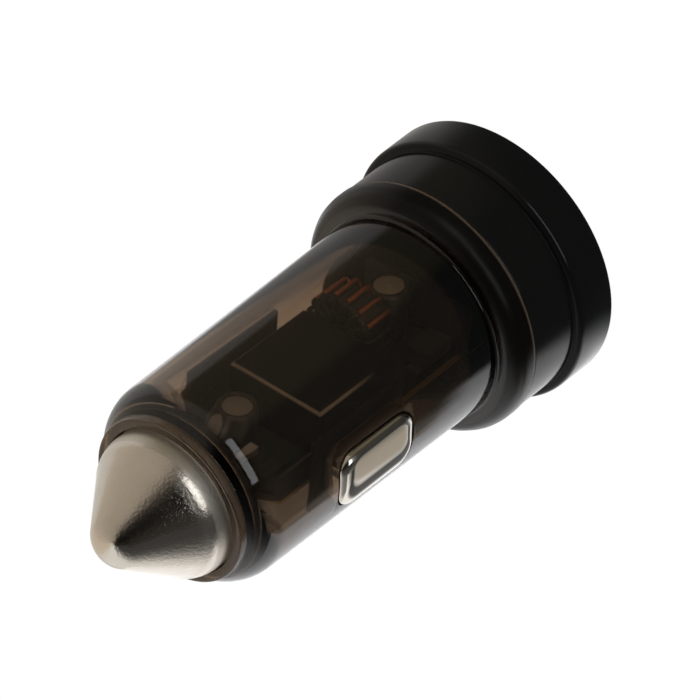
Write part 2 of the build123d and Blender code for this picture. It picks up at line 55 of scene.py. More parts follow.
class Socket:
    """A shader socket, wrapped so that sums on it read as sums."""

    def __init__(self, tree, socket):
        self.tree = tree
        self.socket = socket

    def feed(self, target, value):
        """Links a socket or sets a plain value; a colour gets its alpha."""
        if isinstance(value, Socket):
            self.tree.links.new(value.socket, target)
        elif target.type == "RGBA":
            target.default_value = (*value, 1)
        else:
            target.default_value = value

    def make(self, kind, settings, values, output=0):
        """Adds a node: its settings first, then the values or links of its sockets."""
        node = self.tree.nodes.new(kind)
        for name, value in settings.items():
            if name == "stops":
                elements = node.color_ramp.elements
                elements.remove(elements[-1])
                elements[0].position = value[0][0]
                elements[0].color = (*value[0][1], 1)
                for position, colour in value[1:]:
                    elements.new(position).color = (*colour, 1)
            else:
                setattr(node, name, value)
        for name, value in values.items():
            self.feed(node.inputs[name], value)
        return Socket(self.tree, node.outputs[output])

    def math(self, operation, first, second):
        return self.make("ShaderNodeMath", {"operation": operation}, {0: first, 1: second})

    def __add__(self, other):
        return self.math("ADD", self, other)

    def __radd__(self, other):
        return self.math("ADD", other, self)

    def __sub__(self, other):
        return self.math("SUBTRACT", self, other)

    def __rsub__(self, other):
        return self.math("SUBTRACT", other, self)

    def __mul__(self, other):
        return self.math("MULTIPLY", self, other)

    def __rmul__(self, other):
        return self.math("MULTIPLY", other, self)

    def __gt__(self, other):
        return self.math("GREATER_THAN", self, other)

    def __abs__(self):
        return self.math("ABSOLUTE", self, 0)

    def peak(self, other):
        """The greater of this value and another."""
        return self.math("MAXIMUM", self, other)

    def axis(self, letter):
        """One part of this vector: X, Y or Z."""
        return self.make("ShaderNodeSeparateXYZ", {}, {"Vector": self}, letter)

    def ramp(self, start, end, kind="LINEAR"):
        """Goes evenly from 0 to 1 as this value goes from start to end."""
        limits = {"Value": self, "From Min": start, "From Max": end}
        return self.make("ShaderNodeMapRange", {"interpolation_type": kind}, limits)

    def ease(self, start, end):
        """Goes softly from 0 to 1 as this value goes from start to end."""
        return self.ramp(start, end, "SMOOTHSTEP")

    def noise(self, size, detail=2):
        """Cloudy values from 0 to 1 whose lumps are about a given size in metres."""
        return self.make("ShaderNodeTexNoise", {}, {"Vector": self, "Scale": 1 / size, "Detail": detail})

    def mix(self, first, second):
        """Goes from one colour to another as this value goes from 0 to 1."""
        return self.make("ShaderNodeMix", {"data_type": "RGBA"}, {0: self, 6: first, 7: second}, 2)

    def blend(self, first, second):
        """Goes from one shader to another as this value goes from 0 to 1."""
        return self.make("ShaderNodeMixShader", {}, {0: self, 1: first, 2: second})

    def bump(self, depth):
        """A surface normal that follows this value as a height of up to a given depth in metres."""
        return self.make("ShaderNodeBump", {}, {"Height": self, "Distance": depth, "Strength": 1})


def new_finish(name):
    """A node material, with the place on the piece and the shader that takes its values."""
    finish = bpy.data.materials.new(name)
    finish.use_nodes = True
    tree = finish.node_tree
    place = Socket(tree, tree.nodes.new("ShaderNodeTexCoord").outputs["Object"])
    return finish, place, tree.nodes["Principled BSDF"]


def paint(place, shader, **values):
    """Sets the shader's sockets, named with underscores for spaces, and hands the painted shader on."""
    for name, value in values.items():
        place.feed(shader.inputs[name.replace("_", " ")], value)
    return Socket(place.tree, shader.outputs[0])


def dress(finish, *nodes):
    """Puts a finish on nodes whose solids stay as they are."""
    for node in nodes:
        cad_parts[node].data.materials.clear()
        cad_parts[node].data.materials.append(finish)


board_low, board_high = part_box("circuit_board")
resist_green = (0.007, 0.011, 0.005)
resist_over_copper = (0.014, 0.020, 0.008)
laminate_edge = (0.36, 0.29, 0.15)
track_width = 0.9 * mm
track_run = 5.0 * mm
track_gap = track_width / 5
routed_strip = 0.06 * mm
weave_size = 0.25 * mm
weave_depth = 0.02 * mm
laminate, place, shader = new_finish("board_laminate")
board_x = place.axis("X")
along_board = place.make("ShaderNodeCombineXYZ", {}, {"X": place.axis("Z"), "Y": board_x})
tracks = place.make(
    "ShaderNodeTexBrick",
    {"offset": 0.37, "squash": 0.6},
    {"Vector": along_board, "Scale": 1, "Mortar Size": track_gap, "Brick Width": track_run,
     "Row Height": track_width, "Color1": (1, 1, 1), "Color2": (0.2, 0.2, 0.2), "Mortar": (0, 0, 0)},
)
resist = tracks.mix(resist_green, resist_over_copper)
routed = abs(board_x) > board_high.x - routed_strip
weave = place.noise(weave_size)
paint(
    place, shader,
    Base_Color=routed.mix(resist, laminate_edge),
    Roughness=0.34 + 0.3 * weave,
    Normal=weave.bump(weave_depth),
)
dress(laminate, "circuit_board")

# Ports: a wide and a slim socket, each a shell folded from thin steel, tinned bright, round a moulded tongue.
# Flat gold-plated strips lie on the tongues, and the tails of the shells are soldered to the board.


def plated(name, colour, tarnish, roughness, grain, metal=1):
    """Plated metal: its colour drifts a little to a tarnished tone, and a fine grain breaks its gloss."""
    drift_size = 14 * grain
    grain_depth = 0.002 * grain
    finish, place, shader = new_finish(name)
    drift = place.noise(drift_size, 4)
    speckle = place.noise(grain, 3)
    paint(
        place, shader,
        Base_Color=drift.mix(colour, tarnish),
        Metallic=metal,
        Roughness=roughness * (0.75 + 0.5 * speckle),
        Normal=speckle.bump(grain_depth),
    )
    return finish


def moulded(name, colour, worn, roughness, grain):
    """Moulded plastic: two close shades in soft clouds, under a faint grain from the mould."""
    cloud_size = 18 * grain
    grain_depth = 0.002 * grain
    finish, place, shader = new_finish(name)
    clouds = place.noise(cloud_size, 3)
    speckle = place.noise(grain, 3)
    paint(
        place, shader,
        Base_Color=clouds.mix(colour, worn),
        Roughness=roughness * (0.8 + 0.4 * speckle),
        Normal=speckle.bump(grain_depth),
    )
    return finish


port_bright = (0.62, 0.61, 0.59)
port_grey = (0.48, 0.47, 0.45)
port_painted_shade = (0.02, 0.02, 0.02)
port_cloud = 1.5 * mm
shade_depth_start = 2.5 * mm
shade_depth_end = 4.0 * mm
port_steel, place, shader = new_finish("port_steel")
# Deeper in, the shell is painted near black as shade, and its gloss dulls.
dull_and_shaded = place.axis("Z").ramp(shade_depth_start, shade_depth_end)
tinning = place.noise(port_cloud, 4).mix(port_bright, port_grey)
paint(
    place, shader,
    Base_Color=dull_and_shaded.mix(tinning, port_painted_shade),
    Metallic=1,
    Roughness=0.26 + 0.4 * dull_and_shaded,
)
port_plastic = moulded(
    "port_plastic", colour=(0.012, 0.012, 0.013), worn=(0.022, 0.022, 0.024), roughness=0.42, grain=0.2 * mm
)
gold_plate = plated(
    "gold_plate", colour=(0.80, 0.55, 0.20), tarnish=(0.66, 0.42, 0.14), roughness=0.22, grain=0.1 * mm
)
dress(port_steel, "usb_a_shell", "usb_c_shell")
dress(port_plastic, "usb_a_tongue", "usb_c_tongue")
dress(gold_plate, "usb_a_contacts", "usb_c_contacts")

# Electrolytic capacitors: drawn aluminium cans in a shrunk plastic sleeve that folds over the rim of the top.
# The top has a vent mark. The rear can is painted paler and less metallic than the front one, as painted
# light for its dimmer top. Two tinned wires go through the board, and the sleeve stops just above it.
weld = 0.0005 * mm
round_steps = 5


def start_piece(name):
    """A new mesh of one vertex at the origin, in edit mode, with nothing else selected."""
    bpy.ops.object.select_all(action="DESELECT")
    bpy.ops.mesh.primitive_plane_add(size=mm)
    piece = bpy.context.object
    piece.name = name
    piece.data.name = name
    bpy.ops.object.mode_set(mode="EDIT")
    bpy.ops.mesh.merge(type="CENTER")
    return piece


def pick(piece, element, test):
    """Selects the vertices, edges or faces, in edit mode, whose ends or corners all pass a test of place."""
    bpy.ops.mesh.select_mode(type=element)
    bpy.ops.mesh.select_all(action="DESELECT")
    bpy.ops.object.mode_set(mode="OBJECT")
    points = piece.data.vertices
    if element == "VERT":
        for point in points:
            point.select = test(point.co)
    else:
        for item in piece.data.edges if element == "EDGE" else piece.data.polygons:
            item.select = all(test(points[index].co) for index in item.vertices)
    bpy.ops.object.mode_set(mode="EDIT")


def draw(piece, corners, closed):
    """Draws a line through corners, each a place and a rounding radius, then rounds those corners off."""
    places = [place for place, _ in corners]
    bpy.ops.transform.translate(value=places[0])
    ends = places[1:] + places[:1] if closed else places[1:]
    for here, there in zip(places, ends):
        bpy.ops.mesh.extrude_region_move(TRANSFORM_OT_translate={"value": there - here})
    bpy.ops.mesh.select_all(action="SELECT")
    bpy.ops.mesh.remove_doubles(threshold=weld)
    for index, (corner, radius) in enumerate(corners):
        if radius:
            back = places[index - 1] - corner
            onward = places[(index + 1) % len(places)] - corner
            trim = radius / math.tan(back.angle(onward) / 2)
            pick(piece, "VERT", lambda point: (point - corner).length < weld)
            bpy.ops.mesh.bevel(affect="VERTICES", offset=trim, segments=round_steps, clamp_overlap=True)


def close_piece(piece, smooth_angle):
    """Welds the mesh, turns its faces outwards and smooths it, but not across sharp edges."""
    bpy.ops.mesh.select_mode(type="VERT")
    bpy.ops.mesh.select_all(action="SELECT")
    bpy.ops.mesh.remove_doubles(threshold=weld)
    bpy.ops.mesh.normals_make_consistent(inside=False)
    bpy.ops.object.mode_set(mode="OBJECT")
    bpy.ops.object.shade_smooth_by_angle(angle=math.radians(smooth_angle))


def turned(name, section, sides):
    """A piece turned about Z from its half section, given in millimetres as radius, height and rounding."""
    piece = start_piece(name)
    corners = [(Vector((radius, 0, height)) * mm, rounding * mm) for radius, height, rounding in section]
    draw(piece, corners, closed=True)
    bpy.ops.mesh.select_all(action="SELECT")
    bpy.ops.mesh.spin(steps=sides, angle=math.tau, center=(0, 0, 0), axis=(0, 0, 1))
    close_piece(piece, smooth_angle=40)
    return piece


def settle(piece, turn=(0, 0, 0), place=(0, 0, 0)):
    """Turns and moves a finished piece, and applies that, so that its object stays at the origin."""
    bpy.ops.object.select_all(action="DESELECT")
    piece.select_set(True)
    bpy.context.view_layer.objects.active = piece
    piece.rotation_euler = turn
    piece.location = place
    bpy.ops.object.transform_apply(location=True, rotation=True, scale=True)


def fit(piece, finish, body, slot, *nodes):
    """Gives a new piece its finish and its body, and hides the nodes that it stands for. Its slot is not
    used.
    """
    piece.data.materials.clear()
    piece.data.materials.append(finish)
    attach(piece, body)
    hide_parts(*nodes)


lie_over = (math.radians(90), 0, 0)
ring_sides = 64
sleeve_taper = 0.1
taper_height = 0.6
sleeve_fold = 0.4
sleeve_lip = 0.24
lip_edge = 0.06
can_foot_edge = 0.1
can_rim = 0.35
score_depth = 0.08
score_width = 0.22
score_floor = 0.8 * score_width
can_finishes = {
    # Painted light: the rear can is paler and less metallic than the front one, to brighten its dim top.
    "rear_capacitor": plated(
        "rear_can_painted_light",
        colour=(0.62, 0.58, 0.51), tarnish=(0.52, 0.48, 0.42), roughness=0.42, grain=0.25 * mm, metal=0.7,
    ),
    "front_capacitor": plated(
        "can_aluminium",
        colour=(0.45, 0.43, 0.39), tarnish=(0.36, 0.34, 0.31), roughness=0.42, grain=0.25 * mm,
    ),
}
can_sleeve = moulded(
    "can_sleeve", colour=(0.010, 0.010, 0.012), worn=(0.020, 0.019, 0.020), roughness=0.32, grain=0.2 * mm
)
for name, can_finish in can_finishes.items():
    sleeve_low, sleeve_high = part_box(name + "_sleeve")
    can_low, can_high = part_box(name + "_can")
    sleeve_r = (sleeve_high.x - sleeve_low.x) / 2 / mm
    can_r = (can_high.x - can_low.x) / 2 / mm
    can_foot = (board_low.y - sleeve_high.y) / mm
    sleeve_top = (board_low.y - sleeve_low.y) / mm
    can_top = (board_low.y - can_low.y) / mm
    seat = Vector(((sleeve_low.x + sleeve_high.x) / 2, board_low.y, (sleeve_low.z + sleeve_high.z) / 2))
    sleeve_section = [
        (can_r, can_foot, 0), (sleeve_r - sleeve_taper, can_foot, 0), (sleeve_r, can_foot + taper_height, 0),
        (sleeve_r, sleeve_top, sleeve_fold), (can_r - sleeve_lip, sleeve_top, lip_edge),
        (can_r - sleeve_lip, can_top, 0), (can_r, can_top, 0),
    ]
    sleeve = turned(name + "_jacket", sleeve_section, ring_sides)
    settle(sleeve, lie_over, seat)
    fit(sleeve, can_sleeve, "shell", "can_sleeve", name + "_sleeve")
    can_section = [
        (0, can_foot, 0), (can_r, can_foot, can_foot_edge), (can_r, can_top, can_rim),
        (score_width, can_top, 0), (score_floor, can_top - score_depth, 0), (0, can_top - score_depth, 0),
    ]
    can = turned(name + "_shell", can_section, ring_sides)
    settle(can, lie_over, seat)
    fit(can, can_finish, "shell", "can_aluminium", name + "_can")
tinned_copper = plated(
    "tinned_copper", colour=(0.66, 0.64, 0.60), tarnish=(0.52, 0.49, 0.45), roughness=0.3, grain=0.15 * mm
)
dress(tinned_copper, "capacitor_leads")

# Toroidal choke: a ring of pressed ferrite, coated dark, wound with one length of enamelled copper wire.
# The turns lie side by side over the top of the ring, and both ends of the wire go down through the board.
# The turns are painted dark as shade, except over the top of the ring, where they are lit.
core_low, core_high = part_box("toroid_core")
core_outer = (core_high.x - core_low.x) / 2 / mm
core_inner = 2.05
core_edge = 0.4
core_thickness = (core_high.z - core_low.z) / mm
core_place = (core_low + core_high) / 2
core_section = [
    (core_inner, 0, core_edge), (core_outer, 0, core_edge),
    (core_outer, core_thickness, core_edge), (core_inner, core_thickness, core_edge),
]
ferrite = moulded(
    "ferrite", colour=(0.012, 0.012, 0.012), worn=(0.026, 0.024, 0.022), roughness=0.55, grain=0.15 * mm
)
core = turned("toroid_ring", core_section, ring_sides)
settle(core, place=core_place - Vector((0, 0, core_thickness * mm / 2)))
fit(core, ferrite, "shell", "ferrite", "toroid_core")


def wire(name, corners, diameter):
    """Round wire along a line through corners, each a place and a rounding radius."""
    piece = start_piece(name)
    draw(piece, corners, closed=False)
    bpy.ops.object.mode_set(mode="OBJECT")
    bpy.ops.object.convert(target="CURVE")
    piece.data.bevel_depth = diameter / 2
    piece.data.bevel_resolution = 2
    piece.data.use_fill_caps = True
    bpy.ops.object.convert(target="MESH")
    bpy.ops.object.mode_set(mode="EDIT")
    close_piece(piece, smooth_angle=50)
    return piece


winding_turns = 13
winding_spread = math.radians(286)
winding_wire = 0.5 * mm
winding_gap = 0.06 * mm
wire_bend = 0.3 * mm
wire_out = core_outer * mm + winding_gap + winding_wire / 2
wire_in = core_inner * mm - winding_gap - winding_wire / 2
wire_side = core_thickness * mm / 2 + winding_gap + winding_wire / 2
wire_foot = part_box("toroid_winding")[1].y - core_place.y
rise = Vector((0, 0, wire_side))
wire_turns = []
for turn in range(winding_turns + 1):
    angle = winding_spread * (turn / winding_turns - 0.5) - math.pi / 2
    spoke = Vector((math.cos(angle), math.sin(angle), 0))
    wire_turns.append((spoke * wire_out - rise, wire_bend))
    if turn < winding_turns:
        wire_turns.append((spoke * wire_out + rise, wire_bend))
        wire_turns.append((spoke * wire_in + rise, wire_bend))
        wire_turns.append((spoke * wire_in - rise, wire_bend))
wire_turns.insert(0, (Vector((wire_turns[0][0].x, wire_foot, -wire_side)), 0))
wire_turns.append((Vector((wire_turns[-1][0].x, wire_foot, -wire_side)), 0))
enamel_bright = (0.76, 0.29, 0.14)
enamel_deep = (0.60, 0.21, 0.09)
turn_shade_dark = (0.012, 0.010, 0.009)
enamel_cloud = 1.2 * mm
turn_shade_from_y = core_low.y + 1.5 * mm
turn_shade_from_z = core_high.z - 0.1 * mm
copper_wire, place, shader = new_finish("copper_wire")
# Painted shade: the turns go dark and dull away from the top of the ring and on its front face.
shaded_turns = (place.axis("Y") > turn_shade_from_y).peak(place.axis("Z") > turn_shade_from_z)
enamel = place.noise(enamel_cloud, 3).mix(enamel_bright, enamel_deep)
paint(
    place, shader,
    Base_Color=shaded_turns.mix(enamel, turn_shade_dark),
    Metallic=1 - shaded_turns,
    Roughness=0.34 + 0.2 * shaded_turns,
)
winding = wire("toroid_turns", wire_turns, winding_wire)
settle(winding, place=core_place)
fit(winding, copper_wire, "shell", "copper_wire", "toroid_winding")

# Power choke: a block pressed from iron powder round a flat coil, nearly black, with painted highlights
# on its front edges.
# It stands on two tinned clips that wrap under it and are soldered to the board.


def boxed(name, low, high):
    """A block between two corners, in edit mode, ready for its edges to be worked."""
    bpy.ops.object.select_all(action="DESELECT")
    bpy.ops.mesh.primitive_cube_add(size=1, location=(low + high) / 2, scale=high - low)
    piece = bpy.context.object
    piece.name = name
    piece.data.name = name
    bpy.ops.object.transform_apply(location=True, rotation=True, scale=True)
    bpy.ops.object.mode_set(mode="EDIT")
    return piece


choke_low, choke_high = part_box("power_choke")
choke_edge = 0.4 * mm
block = boxed("choke_block", choke_low, choke_high)
pick(block, "EDGE", lambda point: point.y < choke_low.y + weld)
bpy.ops.mesh.bevel(offset=choke_edge, segments=4)
close_piece(block, smooth_angle=30)
iron_dark = (0.003, 0.003, 0.003)
iron_grey = (0.007, 0.0065, 0.006)
painted_edge_highlight = (0.30, 0.27, 0.22)
powder_size = 0.12 * mm
powder_depth = 0.004 * mm
highlight_start = choke_high.z - 8 * mm
highlight_full = choke_high.z - 4 * mm
pressed_iron, place, shader = new_finish("moulded_epoxy")
powder = place.noise(powder_size, 4)
facing = place.make("ShaderNodeTexCoord", {}, {}, "Normal")
flatness = abs(facing.axis("X")).peak(abs(facing.axis("Y"))).peak(abs(facing.axis("Z")))
# Painted highlight: the rounded edges near the front are lightened.
edge_highlight = flatness.ramp(0.98, 0.85) * place.axis("Z").ramp(highlight_start, highlight_full)
paint(
    place, shader,
    Base_Color=edge_highlight.mix(powder.mix(iron_dark, iron_grey), painted_edge_highlight),
    Roughness=0.6 + 0.25 * powder,
    Normal=powder.bump(powder_depth),
    Specular_IOR_Level=0.12,
)
fit(block, pressed_iron, "shell", "moulded_epoxy", "power_choke")
dress(tinned_copper, "choke_clips")

# Small parts on the board: a power diode, the controller chip with its bent pins, and chips of ceramic.
# They are black or buff moulded bodies on tinned ends, all soldered flat to the copper.
diode_epoxy = moulded(
    "diode_epoxy", colour=(0.014, 0.014, 0.015), worn=(0.024, 0.023, 0.023), roughness=0.5, grain=0.12 * mm
)
chip_ceramic = moulded(
    "chip_ceramic", colour=(0.34, 0.25, 0.15), worn=(0.24, 0.17, 0.10), roughness=0.45, grain=0.15 * mm
)
dress(diode_epoxy, "diode_body", "controller_ic")
dress(tinned_copper, "diode_tabs", "ic_leads")
dress(chip_ceramic, "chip_parts")

# Indicator lamp: a tiny clear block of resin over a phosphor, which glows through the smoked wall in use.
# Here it is off, so that it shows as a pale amber chip near the front of the board.
lamp_lens = moulded(
    "lamp_lens", colour=(0.72, 0.56, 0.28), worn=(0.80, 0.70, 0.46), roughness=0.25, grain=0.1 * mm
)
dress(lamp_lens, "indicator_led")

# Terminal plate and tip spring: a tinned plate stands on the front of the board and takes the tip's current.
# A coil of steel wire, closed at both ends, sits over its boss and pushes the tip out.
dress(tinned_copper, "spring_terminal")
spring_low, spring_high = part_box("tip_spring")
spring_wire = 0.6 * mm
spring_r = spring_high.x - spring_wire / 2
spring_turns = 4.5
spring_end_turn = 0.75
spring_points = 28
spring_rise = spring_high.z - spring_low.z - spring_wire
coil = []
for step in range(round(spring_turns * spring_points) + 1):
    turn = step / spring_points
    angle = math.tau * turn
    share = (turn - spring_end_turn) / (spring_turns - 2 * spring_end_turn)
    lift = spring_wire + (spring_rise - 2 * spring_wire) * min(max(share, 0), 1)
    lift -= spring_wire * max(1 - turn / spring_end_turn, 0)
    lift += spring_wire * max(1 - (spring_turns - turn) / spring_end_turn, 0)
    coil_z = spring_low.z + spring_wire / 2 + lift
    coil.append((Vector((spring_r * math.cos(angle), spring_r * math.sin(angle), coil_z)), 0))
spring_steel = plated(
    "spring_steel", colour=(0.15, 0.14, 0.13), tarnish=(0.10, 0.095, 0.09), roughness=0.4, grain=0.2 * mm
)
spring = wire("tip_coil", coil, spring_wire)
fit(spring, spring_steel, "shell", "spring_steel", "tip_spring")
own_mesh(spring)

# Leaf springs: thin strips of dark spring steel, each bent from one blank, with a foot on the board.
# Each arm bows outwards against the back of a side contact.
leaf_thickness = 0.25 * mm
leaf_foot_length = 4.0 * mm
leaf_arm_length = 9.0 * mm
leaf_bend = 2.0 * mm
leaf_gap = 0.03 * mm
foot_edge = 0.06 * mm
leaf_wall = board_high.x + leaf_gap
for side, outward in (("right", 1), ("left", -1)):
    leaf_low, leaf_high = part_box(side + "_leaf_spring")
    contact_low, contact_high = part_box(side + "_contact")
    contact_back = min(abs(contact_low.x), abs(contact_high.x)) - leaf_gap
    foot_inner = min(abs(leaf_low.x), abs(leaf_high.x))
    foot_z = leaf_high.z - leaf_foot_length
    bends = [
        (leaf_wall + leaf_thickness / 2, leaf_high.z, 0),
        (leaf_wall + leaf_thickness / 2, foot_z, leaf_bend),
        (contact_back - leaf_thickness / 2, (contact_low.z + contact_high.z) / 2, leaf_bend),
        (leaf_wall + leaf_thickness, foot_z - leaf_arm_length, 0),
    ]
    arm = start_piece(side + "_leaf_arm")
    draw(arm, [(Vector((outward * x, leaf_high.y, z)), bend) for x, z, bend in bends], closed=False)
    bpy.ops.mesh.select_all(action="SELECT")
    bpy.ops.mesh.extrude_region_move(TRANSFORM_OT_translate={"value": (0, leaf_low.y - leaf_high.y, 0)})
    bpy.ops.object.mode_set(mode="OBJECT")
    sheet = arm.modifiers.new("sheet", "SOLIDIFY")
    sheet.thickness = leaf_thickness
    sheet.offset = 0
    bpy.ops.object.modifier_apply(modifier=sheet.name)
    bpy.ops.object.mode_set(mode="EDIT")
    close_piece(arm, smooth_angle=30)
    fit(arm, spring_steel, "shell", "spring_steel", side + "_leaf_spring")
    side + "_contact_press"
    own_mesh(arm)
    foot_ends = sorted((outward * foot_inner, outward * (leaf_wall + leaf_thickness / 2)))
    foot = boxed(
        side + "_leaf_foot",
        Vector((foot_ends[0], leaf_high.y - leaf_thickness, foot_z)),
        Vector((foot_ends[1], leaf_high.y, leaf_high.z)),
    )
    pick(foot, "EDGE", lambda point: True)
    bpy.ops.mesh.bevel(offset=foot_edge, segments=2)
    close_piece(foot, smooth_angle=30)
    fit(foot, spring_steel, "shell", "spring_steel", side + "_leaf_spring")

# Side contacts: two nickel-plated shoes with rounded ends, pressed from brass and polished on the outer face.
# One long edge is rolled over in a wide curve and the other is crisp. Beside the face runs a painted dark
# reflection, less dark on the crisp side, and the part down in the slot is painted near black as shade.
# Each slides in a slot in the barrel, and a flange behind it stops it from coming out.
shoe_low, shoe_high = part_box("right_contact")
shoe_length = 10.0 * mm
shoe_width = 6.0 * mm
shoe_corner = 1.9 * mm
shoe_rise = 0.8 * mm
round_side = 3.3 * mm
sharp_side = 0.32 * mm
shoe_end = 1.5 * mm
face_drop = 0.35 * mm
flange_thickness = 0.5 * mm
edge_steps = 10
shoe_top = shoe_high.x - face_drop
shoe_middle = (shoe_low.z + shoe_high.z) / 2
near_y = -shoe_width / 2
far_y = shoe_width / 2
half_z = shoe_length / 2
face_x = shoe_top - shoe_rise
shoe = boxed(
    "side_shoe",
    Vector((shoe_low.x, near_y, shoe_middle - half_z)),
    Vector((face_x, far_y, shoe_middle + half_z)),
)
bpy.ops.mesh.select_mode(type="EDGE")
bpy.ops.mesh.select_all(action="DESELECT")
bpy.ops.object.mode_set(mode="OBJECT")
for edge in shoe.data.edges:
    first, second = (shoe.data.vertices[index].co for index in edge.vertices)
    edge.select = abs(first.x - second.x) > weld
bpy.ops.object.mode_set(mode="EDIT")
bpy.ops.mesh.bevel(offset=shoe_corner, segments=10)
pick(shoe, "FACE", lambda point: point.x > shoe_top - shoe_rise - weld)
for step in range(1, edge_steps + 1):
    slope = math.pi / 2 * step / edge_steps
    inset = 1 - math.cos(slope)
    next_near = round_side * inset - shoe_width / 2
    next_far = shoe_width / 2 - sharp_side * inset
    next_half = shoe_length / 2 - shoe_end * inset
    next_x = shoe_top - shoe_rise * (1 - math.sin(slope))
    shrink = (next_far - next_near) / (far_y - near_y)
    still_y = (next_near - near_y * shrink) / (1 - shrink)
    bpy.ops.mesh.extrude_region_move(TRANSFORM_OT_translate={"value": (next_x - face_x, 0, 0)})
    bpy.ops.transform.resize(value=(1, shrink, next_half / half_z), center_override=(0, still_y, shoe_middle))
    near_y, far_y, half_z, face_x = next_near, next_far, next_half, next_x
bpy.ops.mesh.primitive_cube_add(
    size=1,
    location=(shoe_low.x + flange_thickness / 2, 0, shoe_middle),
    scale=(flange_thickness, shoe_high.y - shoe_low.y, shoe_high.z - shoe_low.z),
)
close_piece(shoe, smooth_angle=30)
nickel_bright = (0.66, 0.62, 0.56)
nickel_hazed = (0.58, 0.54, 0.48)
band_painted_dark = (0.085, 0.08, 0.07)
band_painted_dim = (0.27, 0.25, 0.22)
slot_painted_shade = (0.05, 0.046, 0.042)
polish_and_shade_start = 7.6 * mm
polish_and_shade_full = 9.4 * mm
rim_start = shoe_top - 0.42 * mm
rim_full = shoe_top - 0.58 * mm
haze_size = 2.5 * mm
rub_size = 0.2 * mm
rub_depth = 0.0008 * mm
contact_nickel, place, shader = new_finish("contact_nickel")
depth = abs(place.axis("X"))
# Down in the slot, the shoe is painted near black as shade, and its gloss goes.
polished_and_unshaded = depth.ramp(polish_and_shade_start, polish_and_shade_full)
rub = place.noise(rub_size, 3)
facing = place.make("ShaderNodeTexCoord", {}, {}, "Normal")
facing_x = facing.axis("X")
tilt = 1 - abs(facing_x)
sharp = facing_x * facing.axis("Y") > 0.02
# Painted reflection: a band beside the face is dark, less dark on the crisp side.
rolled = tilt.ramp(0.001, 0.005)
cleared = tilt.ramp(0.02, 0.05)
rim = depth.ramp(rim_start, rim_full)
rounded_end = abs(facing.axis("Z")).ramp(0.2, 0.4)
band_end = cleared + sharp * (rim - cleared)
painted_dark_band = (rolled - band_end) * (1 - rounded_end)
hazed = place.noise(haze_size, 4).mix(nickel_bright, nickel_hazed)
with_painted_band = painted_dark_band.mix(hazed, sharp.mix(band_painted_dark, band_painted_dim))
paint(
    place, shader,
    Base_Color=polished_and_unshaded.mix(slot_painted_shade, with_painted_band),
    Metallic=1,
    Roughness=0.6 - polished_and_unshaded * (0.5 - 0.06 * rub) * (1 - 0.9 * painted_dark_band),
    Normal=rub.bump(rub_depth),
)
shoes = {"right": shoe, "left": shoe.copy()}
shoes["left"].data = shoe.data.copy()
bpy.context.scene.collection.objects.link(shoes["left"])
settle(shoes["left"], turn=(0, 0, math.pi))
for side, piece in shoes.items():
    piece.name = side + "_shoe_polished"
    piece.data.name = piece.name
    fit(piece, contact_nickel, side + "_shoe", "contact_nickel", side + "_contact")

# Centre contact: a hollow cone turned from brass, blasted to a satin grain and plated with warm nickel.
# Its land runs in the collar of the housing, a flange behind stops it there, and the spring sits in its bore.
# The flange, inside the housing, is painted near black as shade.
# The shoulder between cone and land has rubbed in use, and shines less than the cone.
tip_low, tip_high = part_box("centre_contact")
tip_r = 7.28
tip_flange_r = tip_high.x / mm
tip_flange_edge = 0.15
tip_rear = tip_low.z / mm
tip_stop = tip_rear + 0.9
tip_corner = 48.02
tip_shoulder = 3.0
tip_angle = math.radians(37)
tip_point = tip_corner + tip_r / math.tan(tip_angle)
tip_bore_r = 4.2
tip_bore_end = tip_corner + 1.2
tip_sides = 128
apex_r = 3.3
apex_middle = tip_point - apex_r / math.sin(tip_angle)
apex_steps = 8
apex = []
for step in range(apex_steps + 1):
    slope = tip_angle + (math.pi / 2 - tip_angle) * step / apex_steps
    apex.append((apex_r * math.cos(slope), apex_middle + apex_r * math.sin(slope), 0))
tip_section = [
    (tip_bore_r, tip_rear, 0), (tip_flange_r, tip_rear, tip_flange_edge),
    (tip_flange_r, tip_stop, tip_flange_edge), (tip_r, tip_stop, 0), (tip_r, tip_corner, tip_shoulder),
    *apex, (0, tip_bore_end, 0), (tip_bore_r, tip_bore_end, 0),
]
warm_nickel = (0.66, 0.61, 0.54)
worn_nickel = (0.58, 0.53, 0.46)
collar_painted_shade = (0.03, 0.028, 0.025)
nickel_cloud = 1.4 * mm
blast_size = 0.3 * mm
blast_depth = 0.024 * mm
collar_shade_end = (tip_stop + 0.3) * mm
satin_start = 49.6 * mm
satin_full = 48.9 * mm
shoulder_start = 48.2 * mm
shoulder_full = 47.9 * mm
tip_nickel, place, shader = new_finish("tip_nickel")
tip_z = place.axis("Z")
cloud = place.noise(nickel_cloud, 4)
satin = tip_z.ramp(satin_start, satin_full)
rubbed_shoulder = tip_z.ramp(shoulder_start, shoulder_full)
# Painted shade: behind the collar, the flange and the start of the land are near black.
clear_of_collar_shade = tip_z > collar_shade_end
paint(
    place, shader,
    Base_Color=clear_of_collar_shade.mix(collar_painted_shade, cloud.mix(warm_nickel, worn_nickel)),
    Metallic=1,
    Roughness=0.10 + 0.05 * cloud + 0.14 * satin + 0.22 * rubbed_shoulder,
    Normal=place.noise(blast_size, 3).bump(blast_depth),
)
tip = turned("satin_tip", tip_section, tip_sides)
fit(tip, tip_nickel, "tip", "tip_nickel", "centre_contact")

